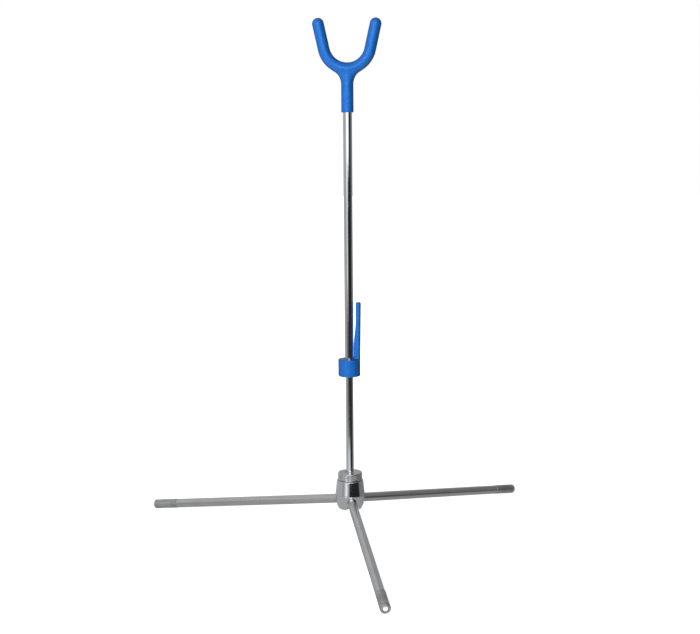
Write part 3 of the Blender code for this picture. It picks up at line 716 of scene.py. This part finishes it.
class BOWSTAND_OT_hook_collar(Operator):
    """Make the ring at the tube's lower end, with the prong that keeps the string"""

    bl_idname = "bowstand.hook_collar"
    bl_label = "Hook Collar"

    def execute(self, context):
        head, pole = settings("head", "pole")
        bottom, tip = low("hook_collar"), high("hook_collar")
        rim = bottom + head.collar_height
        # Width of the blend that rounds a rim as far as a fillet of the collar's edge does.
        edge = 4 * head.collar_edge * (1 - math.cos(math.pi / 4))
        # Power of the prong's superellipse, how steeply it draws in below the rim, and how far
        # down the ring it starts, as a share of the ring's height.
        power, draw_in, root = 3.3, 0.2, 0.4
        # Where up its height the prong starts to open, and over how much of it.
        opens_at, opens_over = 0.2, 0.5
        # Width of the blend of prong and ring outside, and how much wider at the bore.
        blend, inner_blend = 0.0006, 0.0036

        def prong(radius, angle, z):
            """Superellipse in radius and angle about the pole, which opens upwards."""
            rise = np.clip((z - rim) / (tip - rim), 0, 1)
            part = np.clip((rise - opens_at) / opens_over, 0, 1)
            inner = head.prong_inner + head.prong_opening * part * part * (3 - 2 * part)
            outer = head.prong_outer + head.prong_lean * rise + draw_in * np.minimum(z - rim, 0)
            middle, half = (inner + outer) / 2, (outer - inner) / 2
            form = np.abs((radius - middle) / half) ** power + np.abs(angle / head.prong_width) ** power
            side = (form ** (1 / power) - 1) * np.minimum(half, head.prong_width * middle)
            return smooth_max(smooth_max(side, z - tip, 0.003), rim - root * head.collar_height - z, 0.001)

        def collar(x, y, z):
            """Ring with rounded rims and a stepped bore, blended with the prong."""
            radius = np.hypot(x, y)
            seat = z < bottom + head.bush_height
            bore = np.where(seat, head.bush_radius, pole.tube_radius) + GAP - radius
            ring = smooth_max(radius - head.collar_radius, bottom - z, edge)
            ring = smooth_max(smooth_max(ring, z - rim, edge), bore, 0.0006)
            depth = (head.collar_radius - radius) / (head.collar_radius - head.prong_inner)
            width = blend + inner_blend * np.clip(depth, 0, 1)
            return np.maximum(smooth_min(ring, prong(radius, np.arctan2(y, x), z), width), bore)

        reach = max(head.collar_radius, head.prong_outer + head.prong_lean)
        corners = (-reach, -reach, bottom), (reach, reach, tip)
        mesh = field_piece("hook_collar", collar, *corners, cell=0.00048, axes=upright(head.turned))
        shown("hook_collar", mesh, "blue moulded plastic", "head")
        return {"FINISHED"}


class BOWSTAND_OT_pole_tubes(Operator):
    """Make the bright tube of the pole and the thinner rod that it slides over"""

    bl_idname = "bowstand.pole_tubes"
    bl_label = "Pole Tubes"

    def execute(self, context):
        [pole] = settings("pole")
        for node, body, bore, radius, edge in (
            ("upper_tube", "head", pole.rod_radius + GAP, pole.tube_radius, 0.0003),
            ("lower_rod", "base", pole.rod_bore, pole.rod_radius, 0.0004),
        ):
            corners = tube_outline(bore, radius, (low(node), high(node)), (0.00015, edge, edge, 0.00015))
            mesh = turned_piece(node, corners, upright(), steps=4, closed=True)
            shown(node, mesh, "bright chrome plate", body)
        return {"FINISHED"}


class BOWSTAND_OT_glide_cap(Operator):
    """Make the nylon cap on the rod's top end"""

    bl_idname = "bowstand.glide_cap"
    bl_label = "Rod Glide Cap"

    def execute(self, context):
        [pole] = settings("pole")
        spigot = pole.rod_bore - GAP
        bottom, top, rest = low("rod_glide_cap"), high("rod_glide_cap"), high("lower_rod") + GAP
        corners = [
            (0, bottom, 0), (spigot, bottom, 0.0006), (spigot, rest, 0.0002),
            (pole.rod_radius, rest, 0.0003), (pole.rod_radius, top, 0.0018), (0, top, 0),
        ]
        mesh = turned_piece("rod_glide_cap", corners, upright(), columns=64)
        shown("rod_glide_cap", mesh, "natural nylon", "base")
        return {"FINISHED"}


class BOWSTAND_OT_grip_bush(Operator):
    """Make the split bush that grips the rod"""

    bl_idname = "bowstand.grip_bush"
    bl_label = "Grip Bush"

    def execute(self, context):
        head, pole = settings("head", "pole")
        bottom, top = low("grip_bush"), high("grip_bush")
        inner, outer, half_slit = pole.rod_radius + GAP, head.bush_radius, 0.0006

        def bush(x, y, z):
            """Ring with broken edges, less a slit along +X."""
            radius = np.hypot(x, y)
            walls = smooth_max(radius - outer, inner - radius, 0.0002)
            body = smooth_max(walls, np.maximum(bottom - z, z - top), 0.0005)
            return np.where(x > 0, smooth_max(body, half_slit - np.abs(y), 0.0003), body)

        corners = (-outer, -outer, bottom), (outer, outer, top)
        mesh = field_piece("grip_bush", bush, *corners, cell=0.0003, axes=upright())
        shown("grip_bush", mesh, "natural nylon", "grip")
        return {"FINISHED"}


class BOWSTAND_OT_pole_foot(Operator):
    """Make the knurled foot of the pole, with its stud and spigot"""

    bl_idname = "bowstand.pole_foot"
    bl_label = "Pole Foot"

    def execute(self, context):
        [pole] = settings("pole")
        bottom, tip = low("pole_foot"), high("pole_foot")
        rest = bottom + pole.stud_length
        seat = low("lower_rod") - GAP
        top = seat + pole.foot_seat
        spigot, mouth, chamfer = pole.rod_bore - GAP, pole.rod_radius + GAP, 0.002
        # The knurl's margin at both rims, the run over which it fades out, how much longer than
        # wide its diamonds are, and the share of their half width that stays flat.
        margin, run_out, stretch, flat = 0.0014, 0.0004, 1.6, 0.76
        low_edge, high_edge = rest + margin, top - margin
        corners = [
            (0, bottom, 0), (pole.stud_radius, bottom, 0.0006), (pole.stud_radius, rest, 0.0002),
            (pole.foot_radius, rest, 0.0006),
            *[(pole.foot_radius, row, 0) for row in np.linspace(low_edge, high_edge, 56)],
            (pole.foot_radius, top, 0.0012), (mouth + chamfer, top, 0.0004), (mouth, top - chamfer, 0.0003),
            (mouth, seat, 0), (spigot, seat, 0), (spigot, tip, 0.0006), (0, tip, 0),
        ]
        pitch = 2 * math.pi * pole.foot_radius / pole.knurl_count

        def knurl(u, v):
            """Depth of the deeper of two crossed sets of V grooves, which leave flat-topped diamonds."""
            around = pole.knurl_count * u / (2 * math.pi)
            along = (v - low_edge) / (stretch * pitch)
            first, second = (np.abs(2 * ((around + side * along) % 1) - 1) for side in (1, -1))
            groove = np.maximum(np.maximum(first, second) - flat, 0) / (1 - flat)
            fade = np.clip(np.minimum(v - low_edge, high_edge - v) / run_out, 0, 1)
            return -pole.knurl_depth * groove * fade

        columns = 10 * pole.knurl_count
        mesh = turned_piece("pole_foot", corners, upright(), columns=columns, steps=4, relief=knurl)
        shown("pole_foot", mesh, "knurled chrome plate", "base")
        return {"FINISHED"}


def bell(radius, z):
    """Field of the hub without its openings: a floor, three cones and a top, with rounded edges."""
    [hub] = settings("hub")
    bottom, top = low("hub_body"), high("hub_body")
    outline = [
        (hub.bottom_radius, bottom), (hub.skirt_radius, hub.skirt_z),
        (hub.crease_radius, hub.crease_z), (hub.top_radius, top),
    ]
    body = bottom - z
    for start, end, width in zip(outline, outline[1:], (0.0006, 0.0006, 0.0004)):
        run, rise = end[0] - start[0], end[1] - start[1]
        cone = ((radius - start[0]) * rise - (z - start[1]) * run) / math.hypot(run, rise)
        body = smooth_max(body, cone, width)
    return smooth_max(body, z - top, 0.0008)


class BOWSTAND_OT_hub(Operator):
    """Make the chrome bell, slotted from below for the legs"""

    bl_idname = "bowstand.hub"
    bl_label = "Hub"

    def execute(self, context):
        hub, legs, pole = settings("hub", "legs", "pole")
        bottom, top = low("hub_body"), high("hub_body")
        slot = legs.tube_radius + FINE_GAP
        # How much wider the throat under a slot's roof is, and how far above the pin it ends.
        throat_play = 0.0002

        def slot_of(x, y, z, azimuth):
            """Slot with a round inner end: a sloping roof, a throat below it and a cross hole."""
            c, s = math.cos(azimuth), math.sin(azimuth)
            out, across, rise = x * c + y * s - legs.pivot_radius, y * c - x * s, z - legs.pivot_z
            along = out * math.cos(legs.slope) - rise * math.sin(legs.slope)
            over = out * math.sin(legs.slope) + rise * math.cos(legs.slope)
            roof = np.sqrt(np.minimum(along, 0) ** 2 + over**2 + across**2) - slot
            plan = np.hypot(np.minimum(out, 0), across) - slot - throat_play
            pin = np.hypot(out, rise) - legs.pin_radius - FINE_GAP / 2
            return np.minimum(np.minimum(roof, np.maximum(plan, rise - throat_play)), pin)

        def whole(x, y, z):
            radius = np.hypot(x, y)
            socket = np.maximum(radius - pole.stud_radius - GAP, top - pole.stud_length - z)
            body = smooth_max(bell(radius, z), -socket, 0.0003)
            for azimuth in SIDES.values():
                body = smooth_max(body, -slot_of(x, y, z, math.radians(azimuth)), 0.0002)
            return body

        reach = hub.crease_radius
        corners = (-reach, -reach, bottom), (reach, reach, top)
        mesh = field_piece("hub_body", whole, *corners, cell=0.00036, axes=upright())
        shown("hub_body", mesh, "bright chrome plate", "base", "hub_bell")
        return {"FINISHED"}


class BOWSTAND_OT_leg_pins(Operator):
    """Make the cross pins that the legs turn on"""

    bl_idname = "bowstand.leg_pins"
    bl_label = "Leg Pins"

    def execute(self, context):
        hub, legs = settings("hub", "legs")
        half = math.sqrt(hub.crease_radius**2 - legs.pivot_radius**2)
        # How far the ends lie under the hub's surface.
        sunk = 0.00003

        def pin(x, y, z):
            """Cylinder along its own Y whose ends are ground to the hub's surface."""
            surface = bell(np.hypot(x + legs.pivot_radius, y), z + legs.pivot_z)
            return smooth_max(np.hypot(x, z) - legs.pin_radius, surface + sunk, 0.0002)

        reach = np.array([legs.pin_radius, half, legs.pin_radius])
        for side in SIDES:
            mesh = field_piece(f"leg_pin_{side}", pin, -reach, reach, cell=0.0003, axes=pivot_frame(side))
            shown(f"leg_pin_{side}", mesh, "bright chrome plate", "base")
        return {"FINISHED"}


class BOWSTAND_OT_leg_knuckles(Operator):
    """Make the ball-ended knuckles that turn in the hub"""

    bl_idname = "bowstand.leg_knuckles"
    bl_label = "Leg Knuckles"

    def execute(self, context):
        [legs] = settings("legs")
        radius, spigot, spigot_length = legs.tube_radius, legs.tube_bore - GAP, 0.018
        shoulder, tip = legs.knuckle_length, legs.knuckle_length + spigot_length

        def knuckle(x, y, z):
            """Ball and cylinder, a spigot beyond the shoulder, and a cross hole."""
            out = np.hypot(x, y)
            body = smooth_max(np.hypot(out, np.minimum(z, 0)) - radius, z - shoulder, 0.0001)
            inner = smooth_max(np.maximum(out - spigot, -z), z - tip, 0.0005)
            hole = np.hypot(x, z) - legs.pin_radius - GAP
            return smooth_max(np.minimum(body, inner), -hole, 0.0003)

        corners = (-radius, -radius, -radius), (radius, radius, tip)
        for side in SIDES:
            mesh = field_piece(f"leg_knuckle_{side}", knuckle, *corners, cell=0.0004, axes=leg_frame(side))
            shown(f"leg_knuckle_{side}", mesh, "satin leg steel", f"leg_{side}")
        return {"FINISHED"}


class BOWSTAND_OT_leg_tubes(Operator):
    """Make the satin leg tubes"""

    bl_idname = "bowstand.leg_tubes"
    bl_label = "Leg Tubes"

    def execute(self, context):
        [legs] = settings("legs")
        ends = legs.knuckle_length + FINE_GAP / 3, legs.length - legs.ferrule_length - FINE_GAP
        corners = tube_outline(legs.tube_bore, legs.tube_radius, ends, (0.0001, 0.0001, 0.00035, 0.00015))
        for side in SIDES:
            mesh = turned_piece(f"leg_tube_{side}", corners, leg_frame(side), steps=4, closed=True)
            shown(f"leg_tube_{side}", mesh, "satin leg steel", f"leg_{side}")
        return {"FINISHED"}


class BOWSTAND_OT_leg_ferrules(Operator):
    """Make the turned end pieces of the legs"""

    bl_idname = "bowstand.leg_ferrules"
    bl_label = "Leg Ferrules"

    def execute(self, context):
        [legs] = settings("legs")
        radius, spigot, hole = legs.ferrule_radius, legs.tube_bore - GAP, legs.button_radius + GAP
        start, end = legs.length - legs.ferrule_length, legs.length
        tail, floor = start - 0.015, end - 0.007
        # The fine groove: where it starts and ends, and its bottom's radius.
        groove, front, neck = end - 0.0058, end - 0.0046, radius - 0.0005
        corners = [
            (0, tail, 0), (spigot, tail, 0.0006), (spigot, start, 0.0002), (radius, start, 0.0006),
            (radius, groove, 0.0002), (neck, groove, 0.0002), (neck, front, 0.0002),
            (radius, front, 0.0002), (radius, end, legs.ferrule_edge),
            (hole, end, 0.0004), (hole, floor, 0), (0, floor, 0),
        ]
        for side in SIDES:
            mesh = turned_piece(f"leg_ferrule_{side}", corners, leg_frame(side), steps=5)
            shown(f"leg_ferrule_{side}", mesh, "dull turned steel", f"leg_{side}")
        return {"FINISHED"}


class BOWSTAND_OT_leg_buttons(Operator):
    """Make the polished plugs in the ferrules' ends"""

    bl_idname = "bowstand.leg_buttons"
    bl_label = "Leg Buttons"

    def execute(self, context):
        [legs] = settings("legs")
        # Heights of the plug's inner end, of its rim and of its face's low crown.
        inner, rim, crown = legs.length - 0.0067, legs.length - 0.0008, legs.length - 0.0006
        corners = [
            (0, inner, 0), (legs.button_radius, inner, 0.0003), (legs.button_radius, rim, 0.0005),
            (0.0012, crown, 0.006), (0, crown, 0),
        ]
        for side in SIDES:
            mesh = turned_piece(f"leg_button_{side}", corners, leg_frame(side), columns=64)
            shown(f"leg_button_{side}", mesh, "bright chrome plate", f"leg_{side}")
        return {"FINISHED"}


# --- Studio -------------------------------------------------------------------------------

# Walls, windows and cards that the bright metal shows, each painted over the ones before it:
# azimuth to the right of the camera and half width, elevation and half height, softness of the
# edges either way, all in degrees, and brightness.
STUDIO_PANELS = {
    "left wall, upper part": (-100, 65, 50, 40, 20, 14, 0.58),
    "left wall": (-80, 45, 0, 17, 12, 6, 0.45),
    "back wall, right part": (150, 36, 10, 80, 2, 5, 0.40),
    "table": (0, 200, -58, 40, 1, 5, 0.43),
    "window behind the stand": (173, 11, -16, 12, 7, 1, 1.25),
    "dark card behind the stand": (-165, 8, -16, 12, 4, 1, 0.05),
    "table, right part": (100, 60, -58, 40, 25, 5, 0.36),
    "right wall": (95, 52, 20, 42, 14, 5, 0.22),
    "dark card": (35, 44, 3.1, 18.9, 10, 0.8, 0.02),
    "shade under the window": (4, 56, -10.6, 3.2, 57, 1.2, 0.03),
    "strip beside the window": (-60, 6, -4.5, 3.0, 5, 2, 0.3),
    "lit edge of the table": (-18, 28, -16.6, 2.8, 10, 0.6, 0.95),
    "line in the lit edge": (-17, 6, -16.8, 2.4, 5, 0.6, 0.4),
    "brightest part of the lit edge, left": (-35, 8, -17.4, 1.9, 5, 0.5, 1.7),
    "brightest part of the lit edge, right": (-1, 7, -17.4, 1.9, 5, 0.5, 1.7),
    "window sill": (-32, 9, -4.0, 2.4, 6, 1, 0.97),
    "window, lower pane": (-27, 18, -1.5, 1.1, 9, 0.6, 1.0),
    "window": (-10, 36, 18, 18.9, 12, 0.8, 1.13),
    "brightest part of the window": (-7, 9, 18, 18.6, 7, 0.8, 2.4),
    "shade beside the window": (-51, 9, 10, 6, 5, 2, 0.33),
    "bright patch on the table": (14, 16, -36.5, 9, 5, 2, 1.3),
}
WHITE = (1.0, 1.0, 1.0, 1.0)
PANEL_TINT = (0.97, 0.985, 1.0, 1.0)


def studio_surround(tree, camera_turn, walls):
    """Brightness of the studio in a direction: plain walls with the soft-edged panels over them."""
    split = parts_of(tree, add(tree, "TexCoord").outputs["Generated"])
    elevation = maths(tree, "DEGREES", maths(tree, "ARCSINE", split["Z"]))
    azimuth = maths(tree, "ARCTAN2", split["X"], maths(tree, "MULTIPLY", split["Y"], -1.0))
    azimuth = maths(tree, "ADD", maths(tree, "DEGREES", azimuth), math.degrees(camera_turn))

    def within(offset, half, soft):
        return spread(tree, maths(tree, "ABSOLUTE", offset), half - soft, half + soft, 1.0, 0.0)

    result = walls
    for middle, half_width, height, half_height, soft, soft_up, level in STUDIO_PANELS.values():
        aside = maths(tree, "WRAP", maths(tree, "SUBTRACT", azimuth, middle), 180.0, -180.0)
        across = within(aside, half_width, soft)
        up = within(maths(tree, "SUBTRACT", elevation, height), half_height, soft_up)
        result = mixed(tree, maths(tree, "MULTIPLY", across, up), result, level, "FLOAT")
    return result


def placed(name, data, columns, place):
    """Object of this data with these axes, at this place."""
    made = bpy.data.objects.new(name, data)
    bpy.context.collection.objects.link(made)
    matrix = np.eye(4)
    matrix[:3] = np.stack([*columns, place], axis=1)
    made.matrix_world = Matrix(matrix)
    return made


class BOWSTAND_OT_studio(Operator):
    """Make the camera, the floor, the soft lamps and the surround"""

    bl_idname = "bowstand.studio"
    bl_label = "Studio"

    def execute(self, context):
        [studio] = settings("studio")
        context.scene.camera = self.camera(studio)
        self.floor(studio)
        self.lamp("soft_key", studio.key, size=1.2, azimuth=studio.turned + math.radians(32))
        self.lamp("soft_fill", studio.fill, size=1.6, azimuth=studio.turned - math.radians(150))
        context.scene.world = self.surround(studio)
        context.scene.view_settings.view_transform = "Standard"
        return {"FINISHED"}

    def camera(self, studio):
        """Looks at the stand from the photograph's side. Its axes are right, up and backwards."""
        axes, foot = upright(-studio.turned)
        right, ahead, up = axes.T
        back = up * math.sin(studio.pitch) - ahead * math.cos(studio.pitch)
        above = ahead * math.sin(studio.pitch) + up * math.cos(studio.pitch)
        c, s = math.cos(studio.roll), math.sin(studio.roll)
        data = bpy.data.cameras.new("studio camera")
        data.lens, data.sensor_width = studio.lens, 36.0
        place = foot + studio.height * up + studio.aside * right - studio.away * ahead
        return placed("studio_camera", data, (c * right - s * above, s * right + c * above, back), place)

    def floor(self, studio):
        """Pale floor, (r cos u, r sin u, 0), whose rings are closer near the stand.

        The camera sees it white, but for a share near the stand that takes the shadow. Bright
        metal sees through it to the surround.
        """
        size, rings, crowding, glow = 12.0, 40, 2.2, 1.55
        # How far out the shadow starts to fade and is gone, and the glow's share where it is full.
        near, far, least = 0.45, 1.2, 0.6
        corners = [(size * part**crowding, 0, 0) for part in np.linspace(1, 0, rings + 1)]
        mesh = turned_piece("floor", corners, upright(), steps=1)
        material = bpy.data.materials.new("pale floor")
        material.use_nodes = True
        tree = material.node_tree
        tree.nodes.remove(tree.nodes["Principled BSDF"])
        plain = add(tree, "BsdfDiffuse", {"Color": (*[studio.floor_grey] * 3, 1.0)}).outputs[0]
        white = add(tree, "Emission", {"Color": WHITE, "Strength": glow}).outputs[0]
        path = add(tree, "LightPath").outputs
        open_floor = spread(tree, length_of(tree, place_of(tree)), near, far, least, 1.0)
        bright = maths(tree, "MULTIPLY", path["Is Camera Ray"], open_floor)
        seen = add(tree, "MixShader", {0: bright, 1: plain, 2: white}).outputs[0]
        clear = add(tree, "BsdfTransparent").outputs[0]
        result = add(tree, "MixShader", {0: path["Is Glossy Ray"], 1: seen, 2: clear}).outputs[0]
        tree.links.new(result, tree.nodes["Material Output"].inputs["Surface"])
        mesh.materials.append(material)
        floor = bpy.data.objects.new("floor", mesh)
        bpy.context.collection.objects.link(floor)

    def lamp(self, name, power, size, azimuth):
        """Large soft lamp at an azimuth to the left of the front leg, which bright metal doesn't show."""
        slant, target_z, away = 0.39, 0.35, 2.8
        axes, foot = upright(-azimuth)
        right, ahead, up = axes.T
        back = (slant * up - ahead) / math.hypot(slant, 1)
        data = bpy.data.lights.new(name, "AREA")
        data.shape, data.size, data.energy = "SQUARE", size, power
        lamp = placed(name, data, (right, np.cross(back, right), back), foot + target_z * up + away * back)
        lamp.visible_glossy = False

    def surround(self, studio):
        """White to the camera, a soft even light to matt surfaces, and the panels to bright metal."""
        world = bpy.data.worlds.new("studio surround")
        world.use_nodes = True
        tree = world.node_tree
        tree.nodes.clear()
        path = add(tree, "LightPath").outputs
        panels = studio_surround(tree, studio.turned, studio.walls)
        bands, soft, white = (
            add(tree, "Background", {"Color": tint, "Strength": level}).outputs[0]
            for tint, level in ((PANEL_TINT, panels), (WHITE, studio.ambient), (WHITE, 1.0))
        )
        light = add(tree, "MixShader", {0: path["Is Glossy Ray"], 1: soft, 2: bands}).outputs[0]
        clear = maths(tree, "MAXIMUM", path["Is Camera Ray"], path["Is Transmission Ray"])
        result = add(tree, "MixShader", {0: clear, 1: light, 2: white}).outputs[0]
        add(tree, "OutputWorld", {"Surface": result}, is_active_output=True)
        return world


# --- Add-on -------------------------------------------------------------------------------

GROUPS = {
    "bow_stand_pole": PoleSizes,
    "bow_stand_hub": HubSizes,
    "bow_stand_legs": LegSizes,
    "bow_stand_head": HeadSizes,
    "bow_stand_finishes": Finishes,
    "bow_stand_studio": StudioSettings,
}
OPERATORS = (
    BOWSTAND_OT_fork,
    BOWSTAND_OT_hook_collar,
    BOWSTAND_OT_pole_tubes,
    BOWSTAND_OT_glide_cap,
    BOWSTAND_OT_grip_bush,
    BOWSTAND_OT_pole_foot,
    BOWSTAND_OT_hub,
    BOWSTAND_OT_leg_pins,
    BOWSTAND_OT_leg_knuckles,
    BOWSTAND_OT_leg_tubes,
    BOWSTAND_OT_leg_ferrules,
    BOWSTAND_OT_leg_buttons,
    BOWSTAND_OT_studio,
)


class BOWSTAND_PT_panel(Panel):
    bl_label = "Bow Stand"
    bl_idname = "BOWSTAND_PT_panel"
    bl_space_type = "VIEW_3D"
    bl_region_type = "UI"
    bl_category = "Bow Stand"

    def draw(self, context):
        for operator in OPERATORS:
            self.layout.operator(operator.bl_idname)
        for key in GROUPS:
            group_of_sizes = getattr(context.scene, key)
            box = self.layout.box()
            for name in group_of_sizes.bl_rna.properties.keys():
                if name not in ("rna_type", "name"):
                    box.prop(group_of_sizes, name)


def register():
    for kind in (*GROUPS.values(), *OPERATORS, BOWSTAND_PT_panel):
        bpy.utils.register_class(kind)
    for key, kind in GROUPS.items():
        setattr(bpy.types.Scene, key, PointerProperty(type=kind))


def unregister():
    for key in GROUPS:
        delattr(bpy.types.Scene, key)
    for kind in reversed((*GROUPS.values(), *OPERATORS, BOWSTAND_PT_panel)):
        bpy.utils.unregister_class(kind)


def main():
    register()
    for operator in OPERATORS:
        getattr(bpy.ops.bowstand, operator.bl_idname.split(".")[1])()


if __name__ == "__main__":
    main()
